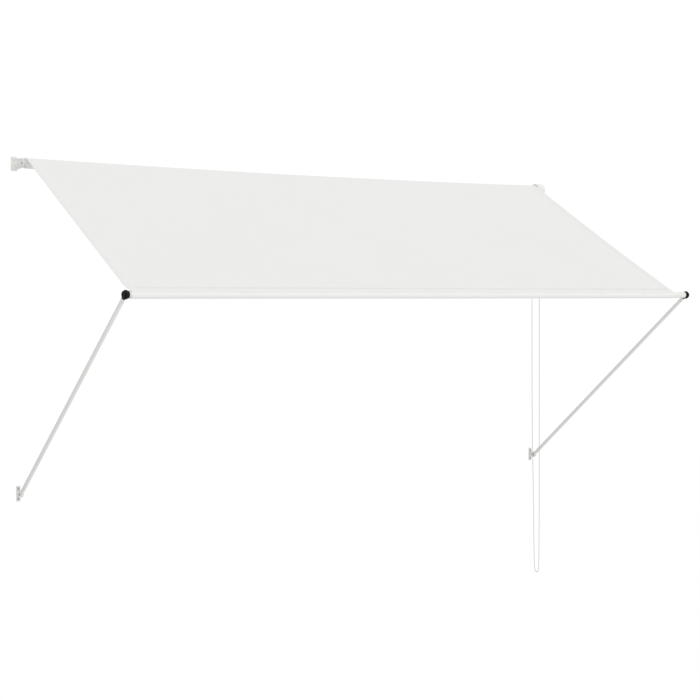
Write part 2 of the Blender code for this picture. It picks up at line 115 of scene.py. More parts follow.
# The chain's loop, seen from the side: distance in front of the roller's axis, and height.
CHAIN_ROUTE = [
    (0.0013, 0.02346),
    (0.0081, 0.02206),
    (0.0151, 0.01800),
    (0.0204, 0.01175),
    (0.0231, 0.00408),
    (0.0236, -0.0100),
    (0.0246, -0.0800),
    (0.0258, -0.3000),
    (0.0259, -0.5000),
    (0.0255, -0.8000),
    (0.0250, -1.1000),
    (0.0250, -1.4000),
    (0.0236, -1.6500),
    (0.0224, -1.7250),
    (0.0211, -1.7560),
    (0.0187, -1.7730),
    (0.0134, -1.7806),
    (0.0065, -1.78275),
    (-0.0004, -1.7806),
    (-0.0058, -1.7722),
    (-0.0084, -1.7560),
    (-0.0100, -1.7250),
    (-0.0122, -1.6500),
    (-0.0168, -1.4000),
    (-0.0240, -1.1000),
    (-0.0253, -0.8000),
    (-0.0258, -0.5000),
    (-0.0257, -0.3000),
    (-0.0246, -0.0800),
    (-0.0236, -0.0100),
    (-0.0231, 0.00408),
    (-0.0204, 0.01175),
    (-0.0151, 0.01800),
    (-0.0081, 0.02206),
    (-0.0013, 0.02346),
]

SIDES = ("left", "right")
COATED = [
    name + side
    for side in SIDES
    for name in (
        "roller_bracket_",
        "roller_screw_upper_",
        "roller_screw_lower_",
        "arm_bracket_",
        "arm_tube_",
        "arm_foot_",
        "arm_screw_foot_",
        "arm_screw_knuckle_",
    )
] + ["front_bar"]
BLACK_PLASTIC = [
    name + side
    for side in SIDES
    for name in ("arm_knuckle_", "bar_end_", "knuckle_cap_", "knuckle_screw_")
]
WHITE_PLASTIC = ["clutch_housing", "chain_wheel", "idle_plug"]
PLATED_STEEL = [
    name + side
    for side in SIDES
    for name in (
        "pivot_bolt_",
        "pivot_nut_",
        "arm_bracket_screw_upper_",
        "arm_bracket_screw_lower_",
    )
] + ["idle_pin", "clutch_post", "clutch_post_nut", "brake_spring"]


# Sizes and colours that can be changed.


class AwningClothSettings(bpy.types.PropertyGroup):
    thickness: FloatProperty(
        name="Thickness",
        description="Thickness of one layer of cloth",
        default=0.0005,
        unit="LENGTH",
    )
    hem_width: FloatProperty(
        name="Hem width",
        description="Width of the doubled edge down each side",
        default=0.022,
        unit="LENGTH",
    )
    pocket_hem: FloatProperty(
        name="Pocket hem",
        description="Depth of the doubled strip behind the front bar",
        default=0.028,
        unit="LENGTH",
    )
    corner_cut: FloatProperty(
        name="Corner cut",
        description="How far up the left edge the corner beside the knuckle is cut away",
        default=0.034,
        unit="LENGTH",
    )
    roller_sag: FloatProperty(
        name="Roller sag",
        description="How far the roller's middle hangs below its ends",
        default=0.0095,
        unit="LENGTH",
    )
    cloth_sag: FloatProperty(
        name="Cloth sag",
        description="How far the stretched cloth hangs below a flat sheet",
        default=0.004,
        unit="LENGTH",
    )
    side_bow: FloatProperty(
        name="Side bow",
        description="How far the right edge curves in between roller and bar",
        default=0.009,
        unit="LENGTH",
    )
    yarn_pitch: FloatProperty(
        name="Yarn pitch",
        description="Distance between neighbouring yarns",
        default=0.0007,
        unit="LENGTH",
    )
    stitch_length: FloatProperty(
        name="Stitch length",
        description="Distance from one stitch to the next",
        default=0.0040,
        unit="LENGTH",
    )
    colour: FloatVectorProperty(
        name="Cloth colour",
        description="Colour of the yarn",
        subtype="COLOR",
        default=(0.835, 0.835, 0.822),
    )
    thread_colour: FloatVectorProperty(
        name="Thread colour",
        description="Colour of the sewing thread",
        subtype="COLOR",
        default=(0.70, 0.70, 0.67),
    )


class AwningChainSettings(bpy.types.PropertyGroup):
    bead: FloatProperty(
        name="Bead diameter",
        description="Diameter of each bead",
        default=0.0045,
        unit="LENGTH",
    )
    pitch: FloatProperty(
        name="Bead pitch",
        description="Distance from one bead to the next",
        default=0.0060,
        unit="LENGTH",
    )
    string: FloatProperty(
        name="String diameter",
        description="Diameter of the string between the beads",
        default=0.0014,
        unit="LENGTH",
    )
    colour: FloatVectorProperty(
        name="Bead colour",
        description="Colour of the moulded beads",
        subtype="COLOR",
        # Darker than the white mouldings: painted shade between the beads.
        default=(0.64, 0.64, 0.625),
    )


class AwningFinishSettings(bpy.types.PropertyGroup):
    edge: FloatProperty(
        name="Edge radius",
        description="Rounding on the edges of pressed and moulded pieces",
        default=0.0004,
        unit="LENGTH",
    )
    coat_colour: FloatVectorProperty(
        name="Coat colour",
        description="Colour of the powder coat",
        subtype="COLOR",
        default=(0.845, 0.848, 0.822),
    )
    black_colour: FloatVectorProperty(
        name="Black plastic colour",
        description="Colour of the knuckles and bar ends",
        subtype="COLOR",
        default=(0.006, 0.006, 0.0065),
    )
    white_colour: FloatVectorProperty(
        name="White plastic colour",
        description="Colour of the chain drive's mouldings",
        subtype="COLOR",
        default=(0.84, 0.84, 0.825),
    )
    steel_colour: FloatVectorProperty(
        name="Steel colour",
        description="Colour of the zinc-plated screws and pins",
        subtype="COLOR",
        default=(0.50, 0.51, 0.52),
    )


class AwningStageSettings(bpy.types.PropertyGroup):
    camera_place: FloatVectorProperty(
        name="Camera place",
        description="Where the camera stands",
        subtype="TRANSLATION",
        unit="LENGTH",
        default=(-2.0907, -5.3417, -0.4959),
    )
    camera_turn: FloatProperty(
        name="Camera turn",
        description="How far the camera turns to the right of straight at the wall",
        default=math.radians(34.03),
        subtype="ANGLE",
    )
    lens: FloatProperty(
        name="Lens",
        description="Focal length on a 36 mm sensor, in millimetres",
        default=76.67,
    )
    drop: FloatProperty(
        name="Lens drop",
        description="Vertical lens shift, as a share of the image's side",
        default=-0.07704,
    )
    floor_height: FloatProperty(
        name="Floor height",
        description="Height of the floor against the roller's axis",
        default=-2.45,
        unit="LENGTH",
    )
    floor_glow: FloatProperty(
        name="Floor glow",
        description="Light that the floor gives off, so that it is as white as what is behind it",
        default=0.915,
    )
    backdrop: FloatProperty(
        name="Backdrop",
        description="Brightness of what is seen behind the awning",
        default=1.02,
    )
    sky: FloatProperty(
        name="Sky",
        description="Brightness of the studio's light all round",
        default=1.06,
    )
    sky_lean: FloatVectorProperty(
        name="Sky lean",
        description="How much brighter the studio's light gets along each axis",
        default=(0.20, -0.21, 0.13),
    )
    key: FloatProperty(
        name="Key light",
        description="Strength of the soft light from above",
        default=0.15,
    )
    key_spread: FloatProperty(
        name="Key spread",
        description="Angle that the soft light fills, seen from the awning",
        default=math.radians(35),
        subtype="ANGLE",
    )
    key_from: FloatVectorProperty(
        name="Key direction",
        description="Where the soft light from above comes from",
        subtype="DIRECTION",
        default=(0.10, -0.45, 1.0),
    )


class AwningSettings(bpy.types.PropertyGroup):
    cloth: PointerProperty(
        type=AwningClothSettings, name="Cloth", description="Sizes of the cloth"
    )
    chain: PointerProperty(
        type=AwningChainSettings, name="Chain", description="Sizes of the bead chain"
    )
    finish: PointerProperty(
        type=AwningFinishSettings, name="Finishes", description="Colours of the hard pieces"
    )
    stage: PointerProperty(
        type=AwningStageSettings, name="Studio", description="Camera, floor and light"
    )


def settings():
    return bpy.context.scene.awning


# Shader maths.


class Signal:
    """A shader output. Sums written with it add the Math nodes that work them out."""

    def __init__(self, finish, socket):
        self.finish = finish
        self.socket = socket

    def maths(self, operation, *values):
        return self.finish.node("ShaderNodeMath", values, operation=operation)

    def __add__(self, other):
        return self.maths("ADD", self, other)

    __radd__ = __add__

    def __sub__(self, other):
        return self.maths("SUBTRACT", self, other)

    def __rsub__(self, other):
        return self.maths("SUBTRACT", other, self)

    def __mul__(self, other):
        return self.maths("MULTIPLY", self, other)

    __rmul__ = __mul__

    def __abs__(self):
        return self.maths("ABSOLUTE", self)

    def sine(self):
        return self.maths("SINE", self)

    def highest(self, other):
        return self.maths("MAXIMUM", self, other)

    def between(self, low, high):
        """0 up to low and 1 from high, with a soft step between."""
        return self.finish.node(
            "ShaderNodeMapRange",
            {"Value": self, "From Min": low, "From Max": high},
            interpolation_type="SMOOTHSTEP",
        )


class Finish:
    """A material under construction."""

    def __init__(self, name, colour, roughness, metallic=0.0, **constants):
        self.material = bpy.data.materials.new(name)
        self.material.use_nodes = True
        self.tree = self.material.node_tree
        self.shader = self.tree.nodes["Principled BSDF"]
        self.shader.inputs["Base Color"].default_value = (*colour, 1)
        self.shader.inputs["Roughness"].default_value = roughness
        self.shader.inputs["Metallic"].default_value = metallic
        for socket, value in constants.items():
            self.shader.inputs[socket.replace("_", " ")].default_value = value

    def node(self, kind, values, output=0, **choices):
        """Adds a node: its settings first, then its inputs by place or by name."""
        made = self.tree.nodes.new(kind)
        for choice, value in choices.items():
            setattr(made, choice, value)
        pairs = values.items() if isinstance(values, dict) else enumerate(values)
        for key, value in pairs:
            self.feed(made.inputs[key], value)
        return Signal(self, made.outputs[output])

    def feed(self, socket, value):
        if isinstance(value, Signal):
            self.tree.links.new(value.socket, socket)
        elif hasattr(value, "__len__") and len(value) == 3 and socket.type == "RGBA":
            socket.default_value = (*value, 1)
        else:
            socket.default_value = value

    def place(self, scale=(1, 1, 1)):
        """Object coordinates in metres, stretched by a scale."""
        coordinates = self.node("ShaderNodeTexCoord", [], output="Object")
        return self.node("ShaderNodeMapping", {"Vector": coordinates, "Scale": scale})

    def noise(self, where, scale, detail=2.0):
        return self.node(
            "ShaderNodeTexNoise", {"Vector": where, "Scale": scale, "Detail": detail}
        )

    def blend(self, share, first, second):
        """Colours mixed by a share of the second."""
        return self.node(
            "ShaderNodeMix",
            {0: share, 6: first, 7: second},
            output=2,
            data_type="RGBA",
        )

    def colour(self, value):
        self.feed(self.shader.inputs["Base Color"], value)

    def roughness(self, value):
        self.feed(self.shader.inputs["Roughness"], value)

    def relief(self, height, distance, strength=1.0):
        """Raises the surface by a height from 0 to 1, of that distance in metres."""
        bump = self.node(
            "ShaderNodeBump",
            {"Height": height, "Distance": distance, "Strength": strength},
        )
        self.feed(self.shader.inputs["Normal"], bump)


def shade_of(colour, factor):
    return tuple(min(1.0, channel * factor) for channel in colour)


def powder_coat():
    """Satin powder coat with its fine orange peel and faint unevenness."""
    base = settings().finish.coat_colour
    made = Finish("cream_powder_coat", base, 0.42, Specular_IOR_Level=0.45)
    where = made.place()
    drift = made.noise(where, 9.0, 3.0)
    speckle = made.noise(where, 2200.0, 1.0)
    tone = drift * 0.8 + speckle * 0.2
    made.colour(made.blend(tone, shade_of(base, 0.965), shade_of(base, 1.035)))
    made.roughness(0.36 + drift * 0.12)
    peel = made.noise(where, 520.0, 2.0)
    made.relief(peel, 0.00002, 0.3)
    return made.material


def black_plastic():
    """Moulded black plastic with a spark-eroded grain."""
    base = settings().finish.black_colour
    made = Finish("black_moulding", base, 0.5, Specular_IOR_Level=0.18)
    where = made.place()
    grain = made.noise(where, 1900.0, 3.0)
    rub = made.noise(where, 120.0, 2.0)
    made.colour(made.blend(rub, shade_of(base, 0.8), shade_of(base, 1.5)))
    made.roughness(0.42 + rub * 0.16)
    made.relief(grain, 0.00002, 0.6)
    return made.material


def white_plastic():
    """Moulded white plastic, a little glossy."""
    base = settings().finish.white_colour
    made = Finish("white_moulding", base, 0.34, Specular_IOR_Level=0.5)
    where = made.place()
    flow = made.noise(where, 60.0, 2.0)
    made.colour(made.blend(flow, shade_of(base, 0.97), shade_of(base, 1.02)))
    made.roughness(0.28 + flow * 0.14)
    made.relief(made.noise(where, 900.0, 2.0), 0.00001, 0.5)
    return made.material


def bead_plastic():
    """White beads in a darkened colour that is painted shade between the beads, with a random tone
    from hands and dust.
    """
    base = settings().chain.colour
    made = Finish("chain_bead_plastic", base, 0.30, Specular_IOR_Level=0.5)
    where = made.place()
    handling = made.noise(where, 35.0, 3.0)
    made.colour(made.blend(handling, shade_of(base, 0.95), shade_of(base, 1.04)))
    made.roughness(0.24 + handling * 0.16)
    made.relief(made.noise(where, 1500.0, 1.0), 0.00001, 0.5)
    return made.material


def plated_steel():
    """Zinc-plated steel: fine scratches and the plating's cloudy tone."""
    base = settings().finish.steel_colour
    made = Finish("zinc_plated_steel", base, 0.36, 0.9)
    where = made.place()
    cloud = made.noise(where, 420.0, 4.0)
    scratch = made.noise(made.place((1, 14, 14)), 260.0, 3.0)
    made.colour(made.blend(cloud, shade_of(base, 0.82), shade_of(base, 1.15)))
    made.roughness(0.28 + scratch * 0.2)
    made.relief(scratch, 0.00001, 0.6)
    return made.material


def woven_cloth(name, gain=1.0):
    """Plain-weave awning cloth, from a UV map in metres."""
    cloth = settings().cloth
    # A gain above 1 draws a lighter copy of the same cloth: painted light.
    base = shade_of(cloth.colour, gain)
    made = Finish(name, base, 0.86, Specular_IOR_Level=0.25, Sheen_Weight=0.12)
    uv = made.node("ShaderNodeUVMap", [], uv_map="cut")
    apart = made.node("ShaderNodeSeparateXYZ", [uv])
    down = Signal(made, apart.socket.node.outputs["Y"])
    turn = math.pi / cloth.yarn_pitch
    over = abs((apart * turn).sine())
    under = abs((down * turn).sine())
    crossing = (apart * turn + math.pi / 2).sine() * (down * turn + math.pi / 2).sine()
    top = crossing.between(-0.25, 0.25)
    height = (over * top).highest(under * (1 - top))
    slub_where = made.node("ShaderNodeMapping", {"Vector": uv, "Scale": (14, 420, 1)})
    slub = made.noise(slub_where, 1.0, 2.0)
    warp_where = made.node("ShaderNodeMapping", {"Vector": uv, "Scale": (520, 9, 1)})
    warp = made.noise(warp_where, 1.0, 2.0)
    cloud = made.noise(uv, 2.2, 2.0)
    # The weave's height in the tone makes raised yarns lighter and the hollows between them darker:
    # painted shade.
    tone = slub * 0.35 + warp * 0.25 + cloud * 0.15 + height * 0.25
    made.colour(made.blend(tone, shade_of(base, 0.955), shade_of(base, 1.045)))
    made.roughness(0.78 + slub * 0.14)
    made.relief(height * 0.8 + slub * 0.2, 0.00009, 0.7)
    return made.material


def sewing_thread():
    """Twisted sewing thread."""
    base = settings().cloth.thread_colour
    made = Finish("sewing_thread", base, 0.7, Sheen_Weight=0.1)
    twist = made.noise(made.place(), 2600.0, 1.0)
    made.colour(made.blend(twist, shade_of(base, 0.85), shade_of(base, 1.12)))
    made.relief(twist, 0.00008, 0.6)
    return made.material


POCKET_PAINTED_LIGHT = 1.07  # painted light: the pocket's copy of the cloth is drawn lighter than the canopy
MATERIAL_MAKERS = {
    "cream_powder_coat": powder_coat,
    "black_moulding": black_plastic,
    "white_moulding": white_plastic,
    "chain_bead_plastic": bead_plastic,
    "zinc_plated_steel": plated_steel,
    "awning_cloth": lambda: woven_cloth("awning_cloth"),
    "pocket_cloth_painted_light": lambda: woven_cloth("pocket_cloth_painted_light", POCKET_PAINTED_LIGHT),
    "sewing_thread": sewing_thread,
}


def material(name):
    """A finish by name, made the first time it's asked for."""
    found = bpy.data.materials.get(name)
    return found or MATERIAL_MAKERS[name]()


# Meshes.


def add_object(name, data):
    made = bpy.data.objects.new(name, data)
    bpy.context.scene.collection.objects.link(made)
    return made


def finished(piece, finish, body, *nodes, smooth=35):
    """Gives a piece its shading, material and body, and puts it in its nodes' place."""
    piece.data.materials.clear()
    piece.data.materials.append(material(finish))
    piece.data.shade_smooth()
    piece.data.set_sharp_from_angle(angle=math.radians(smooth))
    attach(piece, body)
    if nodes:
        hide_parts(*nodes)
    return piece


def applied(piece):
    """Turns what a piece's modifiers make into its plain mesh."""
    scene = bpy.context.evaluated_depsgraph_get()
    mesh = bpy.data.meshes.new_from_object(piece.evaluated_get(scene))
    piece.modifiers.clear()
    piece.data = mesh
    return piece


def sheet_mesh(name, rows, uvs, closed=False):
    """A closed skin from rows of points of equal length. Each row is one loop round the section."""
    count = len(rows[0])
    points = [tuple(p) for row in rows for p in row]
    flat_uv = [pair for row in uvs for pair in row]
    faces = []
    for i in range(len(rows) - 1):
        for k in range(count):
            after = (k + 1) % count
            faces.append(
                (i * count + k, i * count + after, (i + 1) * count + after, (i + 1) * count + k)
            )
    end = (len(rows) - 1) * count
    if closed:
        for k in range(count):
            after = (k + 1) % count
            faces.append((end + k, end + after, after, k))
    else:
        faces.append(tuple(reversed(range(count))))
        faces.append(tuple(end + k for k in range(count)))
    mesh = bpy.data.meshes.new(name)
    mesh.from_pydata(points, [], faces)
    layer = mesh.uv_layers.new(name="cut")
    for loop in mesh.loops:
        layer.data[loop.index].uv = flat_uv[loop.vertex_index]
    bm = bmesh.new()
    bm.from_mesh(mesh)
    bmesh.ops.recalc_face_normals(bm, faces=bm.faces)
    bm.to_mesh(mesh)
    bm.free()
    return mesh


# Where the cloth runs.


def taut_line(bar_centre):
    """The line that touches roll and pocket from above: ends, run and normal, in (y, z)."""
    across = bar_centre - ROLL.yz
    tilt = math.asin((ROLL_RADIUS - POCKET_RADIUS) / across.length)
    slope = math.atan2(-across.y, -across.x) + tilt
    run = Vector((-math.cos(slope), -math.sin(slope)))
    normal = Vector((-math.sin(slope), math.cos(slope)))
    return ROLL.yz + normal * ROLL_RADIUS, bar_centre + normal * POCKET_RADIUS, run, normal


TOP, FRONT, RUN, NORMAL = taut_line(BAR.yz)
REACH = (FRONT - TOP).length
TURN_CLOSED = Matrix.Rotation(-ARM_TRAVEL, 2)
BAR_CLOSED = PIVOT.yz + TURN_CLOSED @ (BAR.yz - PIVOT.yz)
FRONT_CLOSED = taut_line(BAR_CLOSED)[1]
LIFT = 0.00006  # between the cloth and what it lies on
THIN = 0.00005  # what is left of the cloth's thickness at its ends
WRAP = 0.0042  # how far the stretched sheet follows the roll
TAIL = 0.0068  # how far it follows the pocket
BOW_REACH = 0.5  # how far in from the right edge its bow is felt
CORNER_REACH = 0.30  # how far in from the left edge the cut corner is felt


def share_of(value, low, high):
    """0 up to low, 1 from high and straight between."""
    return min(1.0, max(0.0, (value - low) / (high - low)))


def ease(value, low, high):
    """0 up to low, 1 from high and a soft step between."""
    share = share_of(value, low, high)
    return share * share * (3 - 2 * share)


def roller_drop(x):
    """How far the roller hangs at x."""
    share = share_of(x, CLOTH_LEFT, CLOTH_RIGHT)
    return settings().cloth.roller_sag * 4 * share * (1 - share)


def bowed(x, down):
    """Where a station x across the cloth lies once its right edge is drawn in."""
    bow = settings().cloth.side_bow * math.sin(math.pi * share_of(down, 0, REACH))
    return x - bow * ease(x, CLOTH_WIDTH - BOW_REACH, CLOTH_WIDTH)


def cloth_point(x, down, lift):
    """A point on the cloth, down metres from the roller and lift above its underside."""
    cloth = settings().cloth
    share = share_of(down, 0, REACH)
    width = (x - CLOTH_LEFT) / CLOTH_WIDTH
    hang = roller_drop(x) * (1 - share)
    hang += cloth.cloth_sag * math.sin(math.pi * share) * (0.45 + 2.2 * width * (1 - width))
    if down < 0:
        angle = -down / ROLL_RADIUS
        out = NORMAL * math.cos(angle) - RUN * math.sin(angle)
        flat = ROLL.yz + out * (ROLL_RADIUS + LIFT + lift)
    elif down > REACH:
        angle = (down - REACH) / POCKET_RADIUS
        out = NORMAL * math.cos(angle) + RUN * math.sin(angle)
        flat = BAR.yz + out * (POCKET_RADIUS + LIFT + lift)
    else:
        flat = TOP + RUN * down + NORMAL * (LIFT + lift)
    return Vector((x, flat.x, flat.y - hang))


def squash_with_arms(piece):
    """Gives a piece its own copy of its mesh. How far the bar travels as the arms close is worked
    out, but the piece is not gathered towards the roller.
    """
    travel = FRONT - FRONT_CLOSED
    across = travel.normalized()
    span = (FRONT - TOP).dot(across)
    1 - travel.length / span
    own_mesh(piece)
    return piece


# Geometry nodes.


class NodeSketch:
    """A geometry node tree under construction, with named inputs."""

    def __init__(self, name):
        self.tree = bpy.data.node_groups.new(name, "GeometryNodeTree")
        self.add_input("Geometry", "NodeSocketGeometry")
        self.tree.interface.new_socket(
            name="Geometry", in_out="OUTPUT", socket_type="NodeSocketGeometry"
        )
        self.entry = self.tree.nodes.new("NodeGroupInput")
        self.exit = self.tree.nodes.new("NodeGroupOutput")

    def add_input(self, name, kind, default=None):
        socket = self.tree.interface.new_socket(name=name, in_out="INPUT", socket_type=kind)
        if default is not None:
            socket.default_value = default
        return socket

    def given(self, name):
        return self.entry.outputs[name]

    def node(self, kind, values, output=0, **choices):
        made = self.tree.nodes.new(kind)
        for choice, value in choices.items():
            setattr(made, choice, value)
        for key, value in values.items():
            if isinstance(value, bpy.types.NodeSocket):
                self.tree.links.new(value, made.inputs[key])
            else:
                made.inputs[key].default_value = value
        return made.outputs[output]


def beads_on_path():
    """A tree that strings round shapes on a path: beads on their string, or stitches in a row."""
    found = bpy.data.node_groups.get("beads_on_path")
    if found:
        return found
    sketch = NodeSketch("beads_on_path")
    for name, default in (
        ("Spacing", 0.006),
        ("Width", 0.0045),
        ("Length", 0.0045),
        ("String", 0.0007),
    ):
        sketch.add_input(name, "NodeSocketFloat", default)
    sketch.add_input("Segments", "NodeSocketInt", 8)
    sketch.add_input("Rings", "NodeSocketInt", 5)
    sketch.add_input("Material", "NodeSocketMaterial")
    curve = sketch.node("GeometryNodeMeshToCurve", {"Mesh": sketch.given("Geometry")})
    stops = sketch.node(
        "GeometryNodeResampleCurve",
        {"Curve": curve, "Length": sketch.given("Spacing")},
        mode="LENGTH",
    )
    shape = sketch.node(
        "GeometryNodeMeshUVSphere",
        {
            "Segments": sketch.given("Segments"),
            "Rings": sketch.given("Rings"),
            "Radius": 0.5,
        },
    )
    size = sketch.node(
        "ShaderNodeCombineXYZ",
        {"X": sketch.given("Width"), "Y": sketch.given("Width"), "Z": sketch.given("Length")},
    )
    tangent = sketch.node("GeometryNodeInputTangent", {})
    along = sketch.node("FunctionNodeAlignRotationToVector", {"Vector": tangent}, axis="Z")
    placed = sketch.node(
        "GeometryNodeInstanceOnPoints",
        {"Points": stops, "Instance": shape, "Rotation": along, "Scale": size},
    )
    round_line = sketch.node(
        "GeometryNodeCurvePrimitiveCircle", {"Radius": sketch.given("String"), "Resolution": 6}
    )
    line = sketch.node(
        "GeometryNodeCurveToMesh",
        {"Curve": curve, "Profile Curve": round_line, "Fill Caps": True},
    )
    joined = sketch.tree.nodes.new("GeometryNodeJoinGeometry")
    sketch.tree.links.new(placed, joined.inputs[0])
    sketch.tree.links.new(line, joined.inputs[0])
    real = sketch.node("GeometryNodeRealizeInstances", {"Geometry": joined.outputs[0]})
    smooth = sketch.node("GeometryNodeSetShadeSmooth", {"Geometry": real})
    coloured = sketch.node(
        "GeometryNodeSetMaterial",
        {"Geometry": smooth, "Material": sketch.given("Material")},
    )
    sketch.tree.links.new(coloured, sketch.exit.inputs[0])
    return sketch.tree


def strung(name, paths, finish, **sizes):
    """Beads or stitches along paths, as one plain mesh."""
    points = [tuple(p) for path in paths for p in path]
    edges = []
    start = 0
    for path in paths:
        edges += [(start + i, start + i + 1) for i in range(len(path) - 1)]
        start += len(path)
    mesh = bpy.data.meshes.new(name)
    mesh.from_pydata(points, edges, [])
    piece = add_object(name, mesh)
    tree = beads_on_path()
    step = piece.modifiers.new("beads", "NODES")
    step.node_group = tree
    identifiers = {item.name: item.identifier for item in tree.interface.items_tree}
    for key, value in {**sizes, "Material": material(finish)}.items():
        step[identifiers[key]] = value
    return applied(piece)


def smooth_route(route, per_span):
    """Points on a Catmull-Rom curve through a route's (forward, height) pairs."""
    padded = [route[0], *route, route[-1]]
    found = []
    for i in range(len(route) - 1):
        a, b, c, d = (Vector(p) for p in padded[i : i + 4])
        for k in range(per_span):
            t = k / per_span
            bend = (2 * a - 5 * b + 4 * c - d) * t**2 + (3 * b - a - 3 * c + d) * t**3
            found.append((2 * b + (c - a) * t + bend) / 2)
    return [*found, Vector(route[-1])]


# Operators.


class AWNING_OT_camera(bpy.types.Operator):
    """Sets up the camera in front of the awning, on the left"""

    bl_idname = "awning.camera"
    bl_label = "Camera"

    def execute(self, context):
        stage = settings().stage
        lens = bpy.data.cameras.new("camera")
        lens.lens = stage.lens
        lens.sensor_width = 36
        lens.shift_y = stage.drop
        lens.clip_end = 200
        camera = add_object("camera", lens)
        camera.location = stage.camera_place
        camera.rotation_euler = (math.pi / 2, 0, -stage.camera_turn)
        context.scene.camera = camera
        return {"FINISHED"}


class AWNING_OT_chain(bpy.types.Operator):
    """Hangs the bead chain over its wheel"""

    bl_idname = "awning.chain"
    bl_label = "Bead chain"

    def execute(self, context):
        chain = settings().chain
        line = [
            Vector((CHAIN_X, ROLL.y - p.x, ROLL.z + p.y)) for p in smooth_route(CHAIN_ROUTE, 6)
        ]
        piece = strung(
            "hanging_bead_chain",
            [line],
            "chain_bead_plastic",
            Spacing=chain.pitch,
            Width=chain.bead,
            Length=chain.bead,
            String=chain.string / 2,
            Segments=8,
            Rings=6,
        )
        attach(piece, "wall_mounts")
        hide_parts("bead_chain")
        return {"FINISHED"}


class AWNING_OT_canopy(bpy.types.Operator):
    """Stretches the cloth from the roller to the bar, with its hems and cut corner"""

    bl_idname = "awning.canopy"
    bl_label = "Canopy cloth"

    def execute(self, context):
        across = self.stations_across()
        loops = []
        maps = []
        for down in self.stations_down():
            placed = [self.sideways(x, down) for x in across]
            heights = [self.height(x, down) for x in across]
            upper = [cloth_point(CLOTH_LEFT + x, down, up) for x, up in zip(placed, heights)]
            lower = [cloth_point(CLOTH_LEFT + x, down, 0) for x in placed]
            pairs = [(x, down) for x in placed]
            loops.append(upper + list(reversed(lower)))
            maps.append(pairs + list(reversed(pairs)))
        piece = add_object("canopy_fabric", sheet_mesh("canopy_fabric", loops, maps))
        finished(piece, "awning_cloth", "wall_mounts", "canopy_cloth", smooth=60)
        squash_with_arms(piece)
        return {"FINISHED"}

    def stations_across(self):
        """Distances from the left edge, closer together at the edges and at the hems' steps."""
        hem = settings().cloth.hem_width
        edge = [0, 0.0006, 0.0020, hem / 2, hem - 0.0012, hem - 0.0004, hem + 0.0006]
        inner = [hem + (CLOTH_WIDTH - 2 * hem) * i / 120 for i in range(1, 120)]
        return edge + inner + [CLOTH_WIDTH - x for x in reversed(edge)]

    def stations_down(self):
        """Distances down from the roller, closer together at both ends and at the seam."""
        seam = REACH - settings().cloth.pocket_hem
        downs = [-WRAP, -WRAP * 0.66, -WRAP * 0.33, 0, 0.004, 0.010]
        downs += [0.020 + (seam - 0.050) * i / 40 for i in range(41)]
        downs += [seam - 0.012, seam - 0.0010, seam, seam + 0.0008, seam + 0.004]
        downs += [REACH - 0.016, REACH - 0.010, REACH - 0.005, REACH]
        return downs + [REACH + TAIL * i / 6 for i in range(1, 7)]

    def sideways(self, x, down):
        """Where a station lies with the corner cut away on the left and the bow on the right."""
        cut = share_of(down, REACH - settings().cloth.corner_cut, REACH)
        return bowed(x, down) + (POCKET_LEFT - CLOTH_LEFT) * cut * (1 - ease(x, 0, CORNER_REACH))

    def height(self, x, down):
        """The cloth's thickness, doubled at its hems, raised at its seam and thin at its ends."""
        cloth = settings().cloth
        hem = cloth.hem_width
        seam = REACH - cloth.pocket_hem
        from_edge = min(x, CLOTH_WIDTH - x)
        flush = ease(down, REACH - 0.008, REACH)
        layers = 1 + (1 - ease(from_edge, hem - 0.0008, hem + 0.0004)) * (1 - flush)
        ridge = ease(down, seam - 0.0006, seam + 0.0006) * (1 - ease(down, REACH - 0.010, REACH))
        taper = ease(down, -WRAP, 0) * (1 - ease(down, REACH, REACH + TAIL))
        rounded = 0.35 + 0.65 * ease(from_edge, -0.0006, 0.0012)
        return THIN + cloth.thickness * (layers + 0.25 * ridge) * taper * rounded


class AWNING_OT_pocket(bpy.types.Operator):
    """Wraps the sewn pocket round the front bar"""

    bl_idname = "awning.pocket"
    bl_label = "Bar pocket"
    LAYER = 0.0008  # of cloth and its seam allowance
    LOOSE = 0.0005  # between bar and pocket all round
    SLACK = 0.0004  # more at its loosest

    def execute(self, context):
        section = self.section()
        xs = [POCKET_LEFT + (CLOTH_RIGHT - POCKET_LEFT) * i / 90 for i in range(91)]
        loops = []
        maps = []
        for x in xs:
            ripple = 0.00012 * math.sin(x * 23.0) + 0.00008 * math.sin(x * 61.0 + 1.0)
            outer_line = []
            inner_line = []
            pairs = []
            for angle, radius in section:
                out = NORMAL * math.cos(angle) + RUN * math.sin(angle)
                rim = BAR.yz + out * min(POCKET_RADIUS, radius + self.LAYER + ripple)
                core = BAR.yz + out * radius
                outer_line.append(Vector((x, *rim)))
                inner_line.append(Vector((x, *core)))
                pairs.append((x, angle * POCKET_RADIUS))
            loops.append(outer_line + list(reversed(inner_line)))
            maps.append(pairs + list(reversed(pairs)))
        piece = add_object("bar_pocket", sheet_mesh("bar_pocket", loops, maps))
        finished(piece, "pocket_cloth_painted_light", "front_bar", "cloth_pocket", smooth=50)
        return {"FINISHED"}

    def section(self):
        """The inner face once round the bar, as (angle, radius). It hangs off the bar below."""
        start, stop = math.radians(8), math.radians(352)
        steps = 44
        found = []
        for i in range(steps + 1):
            angle = start + (stop - start) * i / steps
            swell = 0.5 + 0.5 * math.cos(angle - math.radians(185))
            found.append((angle, BAR_RADIUS + self.LOOSE + self.SLACK * swell))
        return found


